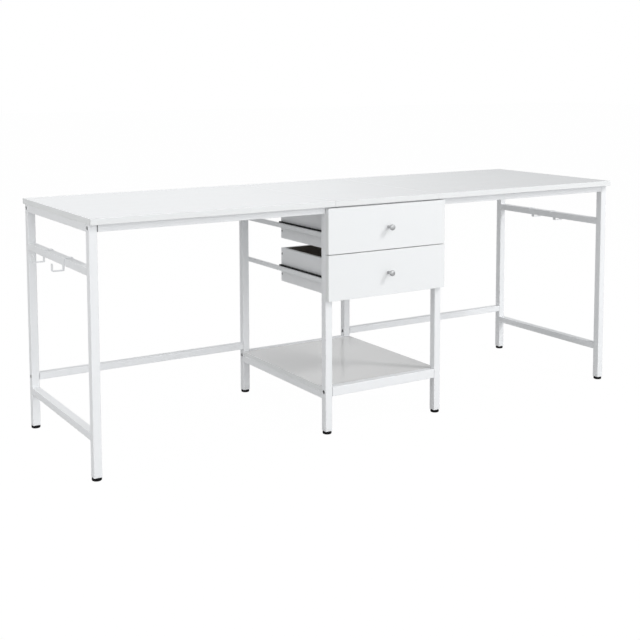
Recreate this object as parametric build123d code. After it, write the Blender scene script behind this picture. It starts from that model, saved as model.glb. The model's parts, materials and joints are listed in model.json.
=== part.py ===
"""Long sewing table: three top panels on four welded side frames, two drawers, a shelf and hooks.

The table is drawn with y = 0 at the middle of the top's depth, and each node is then moved along Y
so that the origin is at the bottom centre of the bounding box. +X is the length, +Y the back, +Z up.
"""
from build123d import *

import os

# Top, in millimetres like every size here.
TOP_LENGTH = 2000.0
TOP_DEPTH = 620.0
TOP_THICKNESS = 18.0
TOP_HEIGHT = 750.0
SEAM_GAP = 0.6
PANEL_EDGE_RADIUS = 0.8

# Frame tubes.
TUBE = 25.0
TUBE_WALL = 1.2
TUBE_CORNER = 2.0
RAIL_HEIGHT = 22.0
RAIL_CORNER = 1.5
INSIDE_CORNER = 0.5
LEG_OVERHANG = 19.0
END_INSET = 1.0
CENTRE_OUTER = 228.5
JOINT_GAP = 1.0
END_PLATE = 4.0

# Heights of the rails' upper faces.
HOOK_RAIL_TOP = 608.0
LOW_RAIL_TOP = 136.0
STRETCHER_TOP = 182.0
SHELF_RAIL_TOP = 152.0
SHELF_RAIL_HEIGHT = 30.0

# Shelf board.
SHELF_THICKNESS = 15.0
SHELF_HALF_LENGTH = 227.0
SHELF_EDGE_GAP = 1.5

# Feet.
FOOT_HEIGHT = 10.0
FOOT_DIAMETER = 29.0
FOOT_RADIUS = 3.0
FOOT_PLUG_LENGTH = 16.0
FOOT_PLUG_GAP = 0.15
FOOT_PLUG_ROOT = 1.0

# Frame bolts and studs.
BOLT_SHANK = 5.9
BOLT_THREAD_HOLE = 6.0
BOLT_CLEAR_HOLE = 6.6
BOLT_ACCESS_HOLE = 12.0
BOLT_HEAD = 10.0
BOLT_HEAD_HEIGHT = 6.0
BOLT_SOCKET = 5.0
BOLT_SOCKET_DEPTH = 3.0
BOLT_LENGTH = 16.0
STUD_REACH = 10.0

# Screws: shank, head and length; holes are wider by the hole clearance all round.
PAN_SHANK = 3.8
PAN_HEAD = 8.0
PAN_HEAD_HEIGHT = 2.4
PAN_HEAD_BEVEL = 0.6
PAN_HEAD_SHOULDER = 0.8
PANEL_SCREW_LENGTH = 13.0
KNOB_SCREW_LENGTH = 40.0
WOOD_SCREW_LENGTH = 26.0
WOOD_SCREW_HEAD_HEIGHT = 2.4
SLIDE_SCREW_SHANK = 3.0
SLIDE_SCREW_HEAD = 5.0
SLIDE_SCREW_LENGTH = 9.0
SCREW_TIP = 3.0
SCREW_TIP_RADIUS = 0.3
HOLE_CLEARANCE = 0.05
CROSS_RECESS_LENGTH = 4.4
CROSS_RECESS_WIDTH = 1.1
CROSS_RECESS_DEPTH = 1.4
DRIVER_HOLE = 10.0
RAIL_SCREW_HOLE = 5.0
BAY_SCREWS_X = (420.0, 800.0)
CENTRE_SCREWS_X = (-150.0, 150.0)
SIDE_SCREWS_Y = (-150.0, 150.0)

# Drawers.
FRONT_THICKNESS = 18.0
FRONT_HALF_WIDTH = 229.0
FRONT_HEIGHT = 146.0
FRONT_PITCH = 148.5
FRONT_CLEARANCE = 0.8
LOWER_FRONT_BOTTOM = 433.0
BOX_RISE = 5.0
BOX_HEIGHT = 115.0
BOX_LENGTH = 355.0
BOX_HALF_WIDTH = 185.5
BOX_WALL = 12.0
BOX_BOTTOM_THICKNESS = 4.0
BOX_BOTTOM_RISE = 10.0
BOX_GROOVE = 5.0
BOX_EDGE_RADIUS = 0.5
CORNER_SCREWS_RISE = (25.0, 95.0)
FRONT_SCREWS_RISE = (35.0, 90.0)
FRONT_SCREWS_X = 130.0

# Knobs.
KNOB_RISE = 73.0
KNOB_REACH = 27.0
KNOB_HEAD = 19.0
KNOB_BASE = 11.0
KNOB_NECK = 7.0
KNOB_WAIST = 7.5
KNOB_NECK_SWELL = 0.6
KNOB_THROAT = 3.0
KNOB_HEAD_START = 18.0
KNOB_RIM = 1.0
KNOB_FLANGE = 1.2
KNOB_DOME = 3.0
KNOB_HOLE = 3.9
KNOB_HOLE_DEPTH = 12.0

# Runner rails and ball slides.
RUNNER_THICKNESS = 8.0
RUNNER_HEIGHT = 15.0
RUNNER_WALL = 1.0
RUNNER_CORNER = 1.0
RUNNER_INSET = 2.0
RUNNER_RISE = 52.0
SLIDE_LIFT = 3.0
SLIDE_HEIGHT = 17.0
SLIDE_LENGTH = 350.0
SLIDE_START = 2.0
SLIDE_SHEET = 1.0
SLIDE_OUTER_LIP = 7.5
SLIDE_INNER_HEIGHT = 10.0
SLIDE_INNER_LIP = 7.0
SLIDE_SCREWS_FROM_FRONT = (40.0, 300.0)
CAGE_LENGTH = 200.0
CAGE_FROM_FRONT = 134.0
CAGE_SHEET = 0.6
CAGE_LIP_START = 3.2
CAGE_WEB = 7.6
BALL_DIAMETER = 1.9
BALL_FROM_SIDE = 5.0
BALLS_PER_ROW = 8

# Hooks: a bent strip over the hook rail.
HOOK_WIDTH = 15.0
HOOK_SHEET = 2.0
HOOK_LIP = 10.0
HOOK_BOTTOM = 573.0
HOOK_REACH = 36.0
HOOK_TIP = 596.0
HOOK_BEND = 2.6
HOOK_CLEARANCE = 0.3
LEFT_HOOKS_Y = {"front": -76.0, "back": 106.0}
RIGHT_HOOKS_Y = {"front": -20.0, "back": 101.0}

# Places that follow from the sizes.
UNDERSIDE = TOP_HEIGHT - TOP_THICKNESS
LEG_FRONT_FACE = -(TOP_DEPTH / 2 - LEG_OVERHANG)
LEG_FRONT_Y = LEG_FRONT_FACE + TUBE / 2
LEG_BACK_Y = -LEG_FRONT_Y
LEG_INNER_Y = LEG_BACK_Y - TUBE / 2
END_OUTER = TOP_LENGTH / 2 - END_INSET
END_X = END_OUTER - TUBE / 2
CENTRE_X = CENTRE_OUTER - TUBE / 2
CENTRE_INNER = CENTRE_OUTER - TUBE
TOP_RAIL_Z = UNDERSIDE - RAIL_HEIGHT / 2
HOOK_RAIL_Z = HOOK_RAIL_TOP - RAIL_HEIGHT / 2
LOW_RAIL_Z = LOW_RAIL_TOP - RAIL_HEIGHT / 2
STRETCHER_Z = STRETCHER_TOP - RAIL_HEIGHT / 2
SHELF_RAIL_Z = SHELF_RAIL_TOP - SHELF_RAIL_HEIGHT / 2
FRONT_BACK_FACE = LEG_FRONT_FACE - FRONT_CLEARANCE
FRONT_FACE = FRONT_BACK_FACE - FRONT_THICKNESS
BOX_BACK_FACE = FRONT_BACK_FACE + BOX_LENGTH
BOX_INNER_X = BOX_HALF_WIDTH - BOX_WALL
RUNNER_X = CENTRE_INNER - RUNNER_THICKNESS / 2
SLIDE_FRONT = LEG_FRONT_FACE + SLIDE_START
SLIDE_DEPTH = CENTRE_INNER - RUNNER_THICKNESS - BOX_HALF_WIDTH
KNOB_TIP = FRONT_FACE - KNOB_REACH
ORIGIN_SHIFT = (-KNOB_TIP - TOP_DEPTH / 2) / 2
SIDES = {"left": -1, "right": 1}
ROWS = {"front": LEG_FRONT_Y, "back": LEG_BACK_Y}
DRAWERS = {"lower": LOWER_FRONT_BOTTOM, "upper": LOWER_FRONT_BOTTOM + FRONT_PITCH}


# --- Basic shapes ---------------------------------------------------------------------------------


def block(x_range, y_range, z_range):
    """A box between pairs of limits."""
    limits = (x_range, y_range, z_range)
    sizes = [abs(high - low) for low, high in limits]
    middles = [(low + high) / 2 for low, high in limits]
    return Pos(*middles) * Box(*sizes)


def rounded_block(x_range, y_range, z_range, radius):
    """A box between pairs of limits, with all its edges rounded."""
    solid = block(x_range, y_range, z_range)
    return fillet(solid.edges(), radius)


def bar_x(x_from, x_to, y, z, diameter):
    """A round bar along X."""
    turned = Rot(0, 90, 0) * Cylinder(diameter / 2, abs(x_to - x_from))
    return Pos((x_from + x_to) / 2, y, z) * turned


def bar_z(z_from, z_to, x, y, diameter):
    """A round bar along Z."""
    return Pos(x, y, (z_from + z_to) / 2) * Cylinder(diameter / 2, abs(z_to - z_from))


def tube_section(width, height, corner, wall=TUBE_WALL):
    """The ring section of a rectangular tube."""
    inner = RectangleRounded(width - 2 * wall, height - 2 * wall, INSIDE_CORNER)
    return RectangleRounded(width, height, corner) - inner


# --- Fasteners ------------------------------------------------------------------------------------


def turned_screw(outline_points):
    """A screw about +Z from its half outline, with a cross recess at z = 0."""
    body = revolve(Plane.XZ * make_face(Polyline(*outline_points, close=True)), Axis.Z)
    body -= Box(CROSS_RECESS_LENGTH, CROSS_RECESS_WIDTH, 2 * CROSS_RECESS_DEPTH)
    return body - Box(CROSS_RECESS_WIDTH, CROSS_RECESS_LENGTH, 2 * CROSS_RECESS_DEPTH)


def pan_screw(length):
    """A pan-head screw about +Z: its head's top at z = 0, its seat one head height above."""
    end = PAN_HEAD_HEIGHT + length
    return turned_screw(
        [
            (0, 0),
            (PAN_HEAD / 2 - PAN_HEAD_BEVEL, 0),
            (PAN_HEAD / 2, PAN_HEAD_SHOULDER),
            (PAN_HEAD / 2, PAN_HEAD_HEIGHT),
            (PAN_SHANK / 2, PAN_HEAD_HEIGHT),
            (PAN_SHANK / 2, end - SCREW_TIP),
            (SCREW_TIP_RADIUS, end),
            (0, end),
        ]
    )


def flat_screw_outline(head, head_height, shank, length, clearance=0.0):
    """The half outline of a countersunk screw, or of its hole where a clearance is given."""
    return [
        (0, 0),
        (head / 2 + clearance, 0),
        (shank / 2 + clearance, head_height),
        (shank / 2 + clearance, length - SCREW_TIP + clearance),
        (SCREW_TIP_RADIUS + clearance, length + clearance),
        (0, length + clearance),
    ]


WOOD_SCREW = (PAN_HEAD, WOOD_SCREW_HEAD_HEIGHT, PAN_SHANK, WOOD_SCREW_LENGTH)
SLIDE_SCREW = (SLIDE_SCREW_HEAD, SLIDE_SHEET, SLIDE_SCREW_SHANK, SLIDE_SCREW_LENGTH)


def flat_screw(sizes, place, direction):
    """A countersunk screw driven from a place in a direction."""
    return Plane(origin=place, z_dir=direction) * turned_screw(flat_screw_outline(*sizes))


def flat_screw_hole(sizes, place, direction):
    """The countersunk hole that such a screw sits in."""
    outline = flat_screw_outline(*sizes, clearance=HOLE_CLEARANCE)
    body = revolve(Plane.XZ * make_face(Polyline(*outline, close=True)), Axis.Z)
    return Plane(origin=place, z_dir=direction) * body


def frame_bolt(leg_x, y, z, towards):
    """A socket-head bolt that bears on a leg's far wall; towards is its direction along X."""
    seat = leg_x + towards * (TUBE / 2 - TUBE_WALL)
    head_top = seat - towards * BOLT_HEAD_HEIGHT
    bolt = bar_x(head_top, seat, y, z, BOLT_HEAD)
    bolt += bar_x(seat, seat + towards * BOLT_LENGTH, y, z, BOLT_SHANK)
    socket_plane = Plane(origin=(head_top, y, z), x_dir=(0, 1, 0), z_dir=(towards, 0, 0))
    socket = socket_plane * RegularPolygon(BOLT_SOCKET / 2, 6, major_radius=False)
    return bolt - extrude(socket, BOLT_SOCKET_DEPTH)


def joining_stud(leg_x, y):
    """A stud through a centre leg, threaded into the top rails on both sides of it."""
    reach = TUBE / 2 + JOINT_GAP + STUD_REACH
    return bar_x(leg_x - reach, leg_x + reach, y, TOP_RAIL_Z, BOLT_SHANK)


def panel_screw(x, y, seat):
    """A pan-head screw that bears on a rail's upper wall from inside and holds a panel above."""
    return Pos(x, y, seat - PAN_HEAD_HEIGHT) * pan_screw(PANEL_SCREW_LENGTH)


# --- Frame tubes ----------------------------------------------------------------------------------


def leg(x, y, left_access=(), right_access=(), studs=()):
    """A leg; each bolt has a wide access hole in one side and a clearance hole in the other."""
    profile = Plane(origin=(x, y, FOOT_HEIGHT)) * tube_section(TUBE, TUBE, TUBE_CORNER)
    tube = extrude(profile, UNDERSIDE - FOOT_HEIGHT)
    wide_left = [(z, BOLT_ACCESS_HOLE, BOLT_CLEAR_HOLE) for z in left_access]
    wide_right = [(z, BOLT_CLEAR_HOLE, BOLT_ACCESS_HOLE) for z in right_access]
    plain = [(z, BOLT_CLEAR_HOLE, BOLT_CLEAR_HOLE) for z in studs]
    for z, left_hole, right_hole in wide_left + wide_right + plain:
        tube -= bar_x(x - TUBE, x, y, z, left_hole)
        tube -= bar_x(x, x + TUBE, y, z, right_hole)
    return tube


def side_rail(x, z, screw_spots=()):
    """A rail welded between a front leg and a back leg, drilled for panel screws where it has any."""
    profile = Plane(origin=(x, -LEG_INNER_Y, z), x_dir=(1, 0, 0), z_dir=(0, 1, 0))
    rail = extrude(profile * tube_section(TUBE, RAIL_HEIGHT, RAIL_CORNER), 2 * LEG_INNER_Y)
    for y in screw_spots:
        rail -= bar_z(z - RAIL_HEIGHT, z, x, y, DRIVER_HOLE)
        rail -= bar_z(z, z + RAIL_HEIGHT, x, y, RAIL_SCREW_HOLE)
    return rail


def cross_rail(x_from, x_to, y, z, height=RAIL_HEIGHT, screw_spots=()):
    """A bolted rail along X with a welded plate and a threaded hole in each end."""
    length = x_to - x_from
    start = Plane(origin=(x_from, y, z), x_dir=(0, 1, 0), z_dir=(1, 0, 0))
    rail = extrude(start * tube_section(TUBE, height, RAIL_CORNER), length)
    opening = RectangleRounded(TUBE - 2 * TUBE_WALL, height - 2 * TUBE_WALL, INSIDE_CORNER)
    plate = extrude(start * opening, END_PLATE)
    rail += plate
    rail += Pos(length - END_PLATE, 0, 0) * plate
    for hole_x in (x_from, x_to):
        rail -= bar_x(hole_x - 2 * END_PLATE, hole_x + 2 * END_PLATE, y, z, BOLT_THREAD_HOLE)
    for x in screw_spots:
        rail -= bar_z(z - height, z, x, y, DRIVER_HOLE)
        rail -= bar_z(z, z + height, x, y, RAIL_SCREW_HOLE)
    return rail


def runner_rail(side, slide_z):
    """A thin rail on the inner faces of a centre frame's legs; it carries a slide above its middle."""
    half_length = LEG_BACK_Y + TUBE / 2 - RUNNER_INSET
    front_end = (side * RUNNER_X, -half_length, slide_z - SLIDE_LIFT)
    start = Plane(origin=front_end, x_dir=(1, 0, 0), z_dir=(0, 1, 0))
    section = tube_section(RUNNER_THICKNESS, RUNNER_HEIGHT, RUNNER_CORNER, RUNNER_WALL)
    rail = extrude(start * section, 2 * half_length)
    for place in slide_screw_places(side, slide_z, SLIDE_DEPTH - SLIDE_SHEET):
        rail -= flat_screw_hole(SLIDE_SCREW, place, (side, 0, 0))
    return rail


# --- Panels and feet ------------------------------------------------------------------------------


def panel(x_range, y_range, z_range, screw_spots):
    """A laminated panel with pilot holes from below."""
    board = rounded_block(x_range, y_range, z_range, PANEL_EDGE_RADIUS)
    pilot = PAN_SHANK + 2 * HOLE_CLEARANCE
    depth = PANEL_SCREW_LENGTH - TUBE_WALL + HOLE_CLEARANCE
    for x, y in screw_spots:
        board -= bar_z(z_range[0] - depth, z_range[0] + depth, x, y, pilot)
    return board


def foot(x, y):
    """A push-in foot: a round pad with a square plug inside the leg."""
    pad = bar_z(0, FOOT_HEIGHT, x, y, FOOT_DIAMETER)
    pad = fillet(pad.edges().sort_by(Axis.Z)[0], FOOT_RADIUS)
    half = TUBE / 2 - TUBE_WALL - FOOT_PLUG_GAP
    plug_top = FOOT_HEIGHT + FOOT_PLUG_LENGTH
    plug = block((x - half, x + half), (y - half, y + half), (FOOT_HEIGHT - FOOT_PLUG_ROOT, plug_top))
    return pad + fillet(plug.edges().filter_by(Axis.Z), INSIDE_CORNER)


# --- Drawers --------------------------------------------------------------------------------------


def corner_screw_places(bottom):
    """Place and direction of each screw through a drawer box's sides into its front and back."""
    places = []
    for side in SIDES.values():
        for y in (FRONT_BACK_FACE + BOX_WALL / 2, BOX_BACK_FACE - BOX_WALL / 2):
            for rise in CORNER_SCREWS_RISE:
                places.append(((side * BOX_HALF_WIDTH, y, bottom + rise), (-side, 0, 0)))
    return places


def front_screw_places(bottom):
    """Place and direction of each screw through a drawer box's front wall into the drawer front."""
    y = FRONT_BACK_FACE + BOX_WALL
    return [
        ((x, y, bottom + rise), (0, -1, 0))
        for x in (-FRONT_SCREWS_X, FRONT_SCREWS_X)
        for rise in FRONT_SCREWS_RISE
    ]


def slide_screw_places(side, z, depth):
    """Places of the two screws of a slide member whose web's near face is at a depth."""
    x = side * (BOX_HALF_WIDTH + depth)
    return [(x, SLIDE_FRONT + distance, z) for distance in SLIDE_SCREWS_FROM_FRONT]


def drawer_box_bottom(bottom):
    """The thin bottom panel, held in grooves in the four walls."""
    reach_x = BOX_INNER_X + BOX_GROOVE
    y_range = (FRONT_BACK_FACE + BOX_WALL - BOX_GROOVE, BOX_BACK_FACE - BOX_WALL + BOX_GROOVE)
    low = bottom + BOX_BOTTOM_RISE
    return block((-reach_x, reach_x), y_range, (low, low + BOX_BOTTOM_THICKNESS))


def drawer_wall(x_range, y_range, bottom, slide_z):
    """One wall of a drawer box with its groove and screw holes."""
    wall = rounded_block(x_range, y_range, (bottom, bottom + BOX_HEIGHT), BOX_EDGE_RADIUS)
    wall -= drawer_box_bottom(bottom)
    for place, direction in corner_screw_places(bottom) + front_screw_places(bottom):
        wall -= flat_screw_hole(WOOD_SCREW, place, direction)
    for side in SIDES.values():
        for place in slide_screw_places(side, slide_z, SLIDE_SHEET):
            wall -= flat_screw_hole(SLIDE_SCREW, place, (-side, 0, 0))
    return wall


def knob_screw(z):
    """A machine screw from inside the drawer box into the knob."""
    seat = (0, FRONT_BACK_FACE + BOX_WALL + PAN_HEAD_HEIGHT, z)
    return Plane(origin=seat, z_dir=(0, -1, 0)) * pan_screw(KNOB_SCREW_LENGTH)


def knob_screw_hole(z):
    """The hole for the knob's screw through the box front and the drawer front."""
    start = Plane(origin=(0, FRONT_BACK_FACE + BOX_WALL, z), z_dir=(0, -1, 0))
    return extrude(start * Circle(KNOB_HOLE / 2), BOX_WALL + FRONT_THICKNESS)


def knob(z):
    """A turned knob with a waisted neck, a domed head and a blind hole for its screw."""
    base, hole, neck, head = KNOB_BASE / 2, KNOB_HOLE / 2, KNOB_NECK / 2, KNOB_HEAD / 2
    neck_end = (neck + KNOB_NECK_SWELL, KNOB_HEAD_START - KNOB_THROAT)
    rim = KNOB_REACH - KNOB_DOME
    dome_radius = (head**2 + KNOB_DOME**2) / (2 * KNOB_DOME)
    profile = [
        Line((hole, 0), (base, 0)),
        Line((base, 0), (base, KNOB_FLANGE)),
        ThreePointArc((base, KNOB_FLANGE), (neck, KNOB_WAIST), neck_end),
        ThreePointArc(neck_end, (neck + KNOB_THROAT, KNOB_HEAD_START), (head, rim - KNOB_RIM)),
        Line((head, rim - KNOB_RIM), (head, rim)),
        RadiusArc((head, rim), (0, KNOB_REACH), -dome_radius),
        Line((0, KNOB_REACH), (0, KNOB_HOLE_DEPTH)),
        Line((0, KNOB_HOLE_DEPTH), (hole, KNOB_HOLE_DEPTH)),
        Line((hole, KNOB_HOLE_DEPTH), (hole, 0)),
    ]
    turned = revolve(Plane.XZ * make_face(profile), Axis.Z)
    return Plane(origin=(0, FRONT_FACE, z), z_dir=(0, -1, 0)) * turned


# --- Ball slides ----------------------------------------------------------------------------------


def channel(side, z, y_range, web_range, lip_range, lip_faces):
    """A thin channel along Y: a web and two lips, set out from the drawer box's side."""
    near = side * BOX_HALF_WIDTH
    outside, inside = lip_faces
    web_x = [near + side * depth for depth in web_range]
    lip_x = [near + side * depth for depth in lip_range]
    shape = block(web_x, y_range, (z - outside, z + outside))
    shape += block(lip_x, y_range, (z + inside, z + outside))
    return shape + block(lip_x, y_range, (z - outside, z - inside))


def slide_channel(side, z):
    """The outer member, screwed to a runner rail and open towards the drawer."""
    half = SLIDE_HEIGHT / 2
    member = channel(
        side,
        z,
        (SLIDE_FRONT, SLIDE_FRONT + SLIDE_LENGTH),
        (SLIDE_DEPTH - SLIDE_SHEET, SLIDE_DEPTH),
        (SLIDE_DEPTH - SLIDE_OUTER_LIP, SLIDE_DEPTH),
        (half, half - SLIDE_SHEET),
    )
    for place in slide_screw_places(side, z, SLIDE_DEPTH - SLIDE_SHEET):
        member -= flat_screw_hole(SLIDE_SCREW, place, (side, 0, 0))
    return member


def slide_member(side, z):
    """The inner member, screwed to the drawer box and open towards the runner rail."""
    half = SLIDE_INNER_HEIGHT / 2
    member = channel(
        side,
        z,
        (SLIDE_FRONT, SLIDE_FRONT + SLIDE_LENGTH),
        (0, SLIDE_SHEET),
        (0, SLIDE_INNER_LIP),
        (half, half - SLIDE_SHEET),
    )
    for place in slide_screw_places(side, z, SLIDE_SHEET):
        member -= flat_screw_hole(SLIDE_SCREW, place, (-side, 0, 0))
    return member


def ball_cage(side, z):
    """The cage between the two members, with a row of balls above and below."""
    track = (SLIDE_HEIGHT / 2 - SLIDE_SHEET + SLIDE_INNER_HEIGHT / 2) / 2
    start = SLIDE_FRONT + CAGE_FROM_FRONT
    cage = channel(
        side,
        z,
        (start, start + CAGE_LENGTH),
        (CAGE_WEB, CAGE_WEB + CAGE_SHEET),
        (CAGE_LIP_START, CAGE_WEB),
        (track + CAGE_SHEET / 2, track - CAGE_SHEET / 2),
    )
    pitch = CAGE_LENGTH / BALLS_PER_ROW
    x = side * (BOX_HALF_WIDTH + BALL_FROM_SIDE)
    for index in range(BALLS_PER_ROW):
        for row in (-track, track):
            ball = Pos(x, start + pitch * (index + 0.5), z + row) * Sphere(BALL_DIAMETER / 2)
            cage += ball
    return cage


# --- Hooks ----------------------------------------------------------------------------------------


def hook(side, y):
    """A strip bent over the hook rail, down its outer face and out into a cradle."""
    offset = HOOK_CLEARANCE + HOOK_SHEET / 2
    inner = END_OUTER - TUBE - offset
    outer = END_OUTER + offset
    tip = END_OUTER + HOOK_REACH
    top = HOOK_RAIL_TOP + offset
    corners = [
        (inner, HOOK_RAIL_TOP - HOOK_LIP),
        (inner, top),
        (outer, top),
        (outer, HOOK_BOTTOM),
        (tip, HOOK_BOTTOM),
        (tip, HOOK_TIP),
    ]
    points = [(side * x, y, z) for x, z in corners]
    path = FilletPolyline(*points, radius=HOOK_BEND)
    section = Plane(origin=points[0], x_dir=(0, 1, 0), z_dir=(0, 0, 1))
    strip = sweep(section * Rectangle(HOOK_WIDTH, HOOK_SHEET), path=path)
    return strip


# --- Nodes ----------------------------------------------------------------------------------------


def save(name, *solids):
    """Write one node, moved so that the origin is under the middle of the bounding box."""
    moved = [Pos(0, ORIGIN_SHIFT, 0) * solid for solid in solids]
    export_step(moved[0] if len(moved) == 1 else Compound(children=moved), f"parts/{name}.step")


def save_side_frame(name, side):
    """The end frame and the centre frame of one side, with the cross rails between them."""
    access = f"{name}_access"
    opposite = "left_access" if name == "right" else "right_access"
    end_x = side * END_X
    centre_x = side * CENTRE_X
    bay = sorted((side * (CENTRE_OUTER + JOINT_GAP), side * (END_X - TUBE / 2 - JOINT_GAP)))
    bay_screws = [side * x for x in BAY_SCREWS_X]

    save(f"{name}_end_front_leg", leg(end_x, LEG_FRONT_Y, **{access: [TOP_RAIL_Z]}))
    save(f"{name}_end_back_leg", leg(end_x, LEG_BACK_Y, **{access: [TOP_RAIL_Z, STRETCHER_Z]}))
    front_holes = {access: [SHELF_RAIL_Z], "studs": [TOP_RAIL_Z]}
    save(f"{name}_centre_front_leg", leg(centre_x, LEG_FRONT_Y, **front_holes))
    back_holes = {**front_holes, opposite: [STRETCHER_Z]}
    save(f"{name}_centre_back_leg", leg(centre_x, LEG_BACK_Y, **back_holes))

    save(f"{name}_end_top_rail", side_rail(end_x, TOP_RAIL_Z, SIDE_SCREWS_Y))
    save(f"{name}_end_hook_rail", side_rail(end_x, HOOK_RAIL_Z))
    save(f"{name}_end_low_rail", side_rail(end_x, LOW_RAIL_Z))
    save(f"{name}_centre_top_rail", side_rail(centre_x, TOP_RAIL_Z, SIDE_SCREWS_Y))
    save(f"{name}_shelf_side_rail", side_rail(centre_x, LOW_RAIL_Z, SIDE_SCREWS_Y))

    for row, y in ROWS.items():
        rail = cross_rail(*bay, y, TOP_RAIL_Z, screw_spots=bay_screws)
        save(f"{name}_{row}_top_rail", rail)
    save(f"{name}_back_stretcher", cross_rail(*bay, LEG_BACK_Y, STRETCHER_Z))


def save_centre_bay():
    """The cross rails between the centre frames and the shelf board."""
    reach = CENTRE_INNER - JOINT_GAP
    rails = [
        cross_rail(-reach, reach, y, TOP_RAIL_Z, screw_spots=CENTRE_SCREWS_X) for y in ROWS.values()
    ]
    save("middle_top_rails", *rails)
    for row, y in ROWS.items():
        rail = cross_rail(-reach, reach, y, SHELF_RAIL_Z, SHELF_RAIL_HEIGHT)
        save(f"shelf_{row}_rail", rail)
    reach_y = LEG_INNER_Y - SHELF_EDGE_GAP
    spots = [(side * CENTRE_X, y) for side in SIDES.values() for y in SIDE_SCREWS_Y]
    half = SHELF_HALF_LENGTH
    levels = (LOW_RAIL_TOP, LOW_RAIL_TOP + SHELF_THICKNESS)
    save("shelf_board", panel((-half, half), (-reach_y, reach_y), levels, spots))


def top_screw_spots():
    """Where the top's screws stand, for each panel."""
    ends = {}
    for name, side in SIDES.items():
        spots = [(side * x, y) for x in BAY_SCREWS_X for y in ROWS.values()]
        spots += [(side * x, y) for x in (END_X, CENTRE_X) for y in SIDE_SCREWS_Y]
        ends[name] = spots
    ends["centre"] = [(x, y) for x in CENTRE_SCREWS_X for y in ROWS.values()]
    return ends


def save_top(spots):
    """The three top panels, which meet at the centre frames."""
    half_depth = TOP_DEPTH / 2
    seam = CENTRE_INNER - SEAM_GAP / 2
    ranges = {"centre": (-seam, seam)}
    for name, side in SIDES.items():
        ranges[name] = sorted((side * (CENTRE_INNER + SEAM_GAP / 2), side * TOP_LENGTH / 2))
    for name, x_range in ranges.items():
        levels = (UNDERSIDE, TOP_HEIGHT)
        save(f"{name}_top_panel", panel(x_range, (-half_depth, half_depth), levels, spots[name]))


def save_fasteners(spots):
    """The fasteners of the frame, the panels and the fixed slide members."""
    bolts = []
    studs = []
    panel_screws = [
        panel_screw(x, y, UNDERSIDE - TUBE_WALL) for group in spots.values() for x, y in group
    ]
    for side in SIDES.values():
        bolts.append(frame_bolt(side * END_X, LEG_BACK_Y, STRETCHER_Z, -side))
        bolts.append(frame_bolt(side * CENTRE_X, LEG_BACK_Y, STRETCHER_Z, side))
        for y in ROWS.values():
            bolts.append(frame_bolt(side * END_X, y, TOP_RAIL_Z, -side))
            bolts.append(frame_bolt(side * CENTRE_X, y, SHELF_RAIL_Z, -side))
            studs.append(joining_stud(side * CENTRE_X, y))
        for y in SIDE_SCREWS_Y:
            panel_screws.append(panel_screw(side * CENTRE_X, y, LOW_RAIL_TOP - TUBE_WALL))
    save("frame_bolts", *bolts)
    save("joining_studs", *studs)
    save("panel_screws", *panel_screws)
    legs_x = [side * x for side in SIDES.values() for x in (END_X, CENTRE_X)]
    save("feet", *[foot(x, y) for x in legs_x for y in ROWS.values()])


def save_slides(slide_heights):
    """The runner rails and the slides' fixed members and cages."""
    pairs = [(side, z) for z in slide_heights.values() for side in SIDES.values()]
    save("runner_rails", *[runner_rail(side, z) for side, z in pairs])
    save("slide_channels", *[slide_channel(side, z) for side, z in pairs])
    screws = [
        flat_screw(SLIDE_SCREW, place, (side, 0, 0))
        for side, z in pairs
        for place in slide_screw_places(side, z, SLIDE_DEPTH - SLIDE_SHEET)
    ]
    save("slide_channel_screws", *screws)
    for name, z in slide_heights.items():
        save(f"{name}_ball_cages", *[ball_cage(side, z) for side in SIDES.values()])


def save_drawer(name, front_bottom, slide_z):
    """One drawer: front, box, knob, screws and the slides' moving members."""
    bottom = front_bottom + BOX_RISE
    knob_z = front_bottom + KNOB_RISE
    y_range = (FRONT_BACK_FACE, BOX_BACK_FACE)
    front_y = (FRONT_BACK_FACE, FRONT_BACK_FACE + BOX_WALL)
    back_y = (BOX_BACK_FACE - BOX_WALL, BOX_BACK_FACE)
    inner_x = (-BOX_INNER_X, BOX_INNER_X)

    face_z = (front_bottom, front_bottom + FRONT_HEIGHT)
    face_x = (-FRONT_HALF_WIDTH, FRONT_HALF_WIDTH)
    face = rounded_block(face_x, (FRONT_FACE, FRONT_BACK_FACE), face_z, PANEL_EDGE_RADIUS)
    face -= knob_screw_hole(knob_z)
    for place, direction in front_screw_places(bottom):
        face -= flat_screw_hole(WOOD_SCREW, place, direction)
    save(f"{name}_drawer_front", face)

    walls = [
        drawer_wall((side * BOX_INNER_X, side * BOX_HALF_WIDTH), y_range, bottom, slide_z)
        for side in SIDES.values()
    ]
    save(f"{name}_drawer_sides", *walls)
    box_front = drawer_wall(inner_x, front_y, bottom, slide_z) - knob_screw_hole(knob_z)
    save(f"{name}_drawer_box_front", box_front)
    save(f"{name}_drawer_box_back", drawer_wall(inner_x, back_y, bottom, slide_z))
    save(f"{name}_drawer_bottom", drawer_box_bottom(bottom))
    save(f"{name}_drawer_knob", knob(knob_z))

    screws = [
        flat_screw(WOOD_SCREW, place, direction)
        for place, direction in corner_screw_places(bottom) + front_screw_places(bottom)
    ]
    screws.append(knob_screw(knob_z))
    for side in SIDES.values():
        for place in slide_screw_places(side, slide_z, SLIDE_SHEET):
            screws.append(flat_screw(SLIDE_SCREW, place, (-side, 0, 0)))
    save(f"{name}_drawer_screws", *screws)
    save(f"{name}_slide_members", *[slide_member(side, slide_z) for side in SIDES.values()])


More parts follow.
